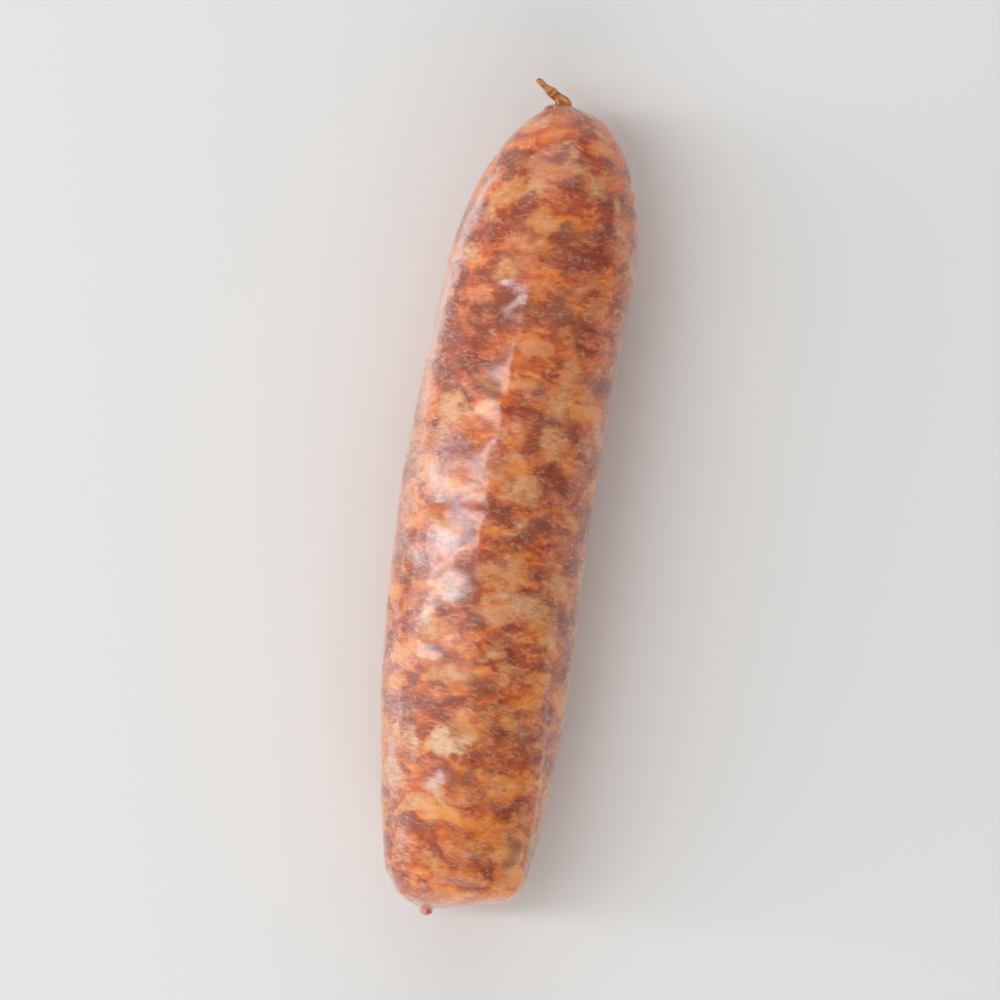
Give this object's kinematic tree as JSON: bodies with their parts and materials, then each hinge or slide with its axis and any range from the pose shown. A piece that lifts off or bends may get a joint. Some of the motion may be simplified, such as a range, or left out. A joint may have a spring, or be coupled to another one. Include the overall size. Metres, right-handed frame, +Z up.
{
  "type": "sausage link",
  "caption": "Fresh coarse-ground sausage link in natural casing, lying on its side, with a blunt pleated end and a twisted casing tail.",
  "frame": {"origin": "middle of the link's box in plan, on the surface that it rests on", "axes": "+Z up from the resting surface, +X along the link towards its twisted casing tail, +Y to the side that its middle bows towards"},
  "size_m": [0.1546, 0.0366, 0.0329],
  "materials": {
    "natural_casing": "moist, glossy natural casing, thin enough to show the paprika mince, purple-brown lean and cream fat beneath it; bare casing at the tail is amber"
  },
  "bodies": {
    "root": {"sausage_link": "natural_casing"}
  },
  "joints": []
}
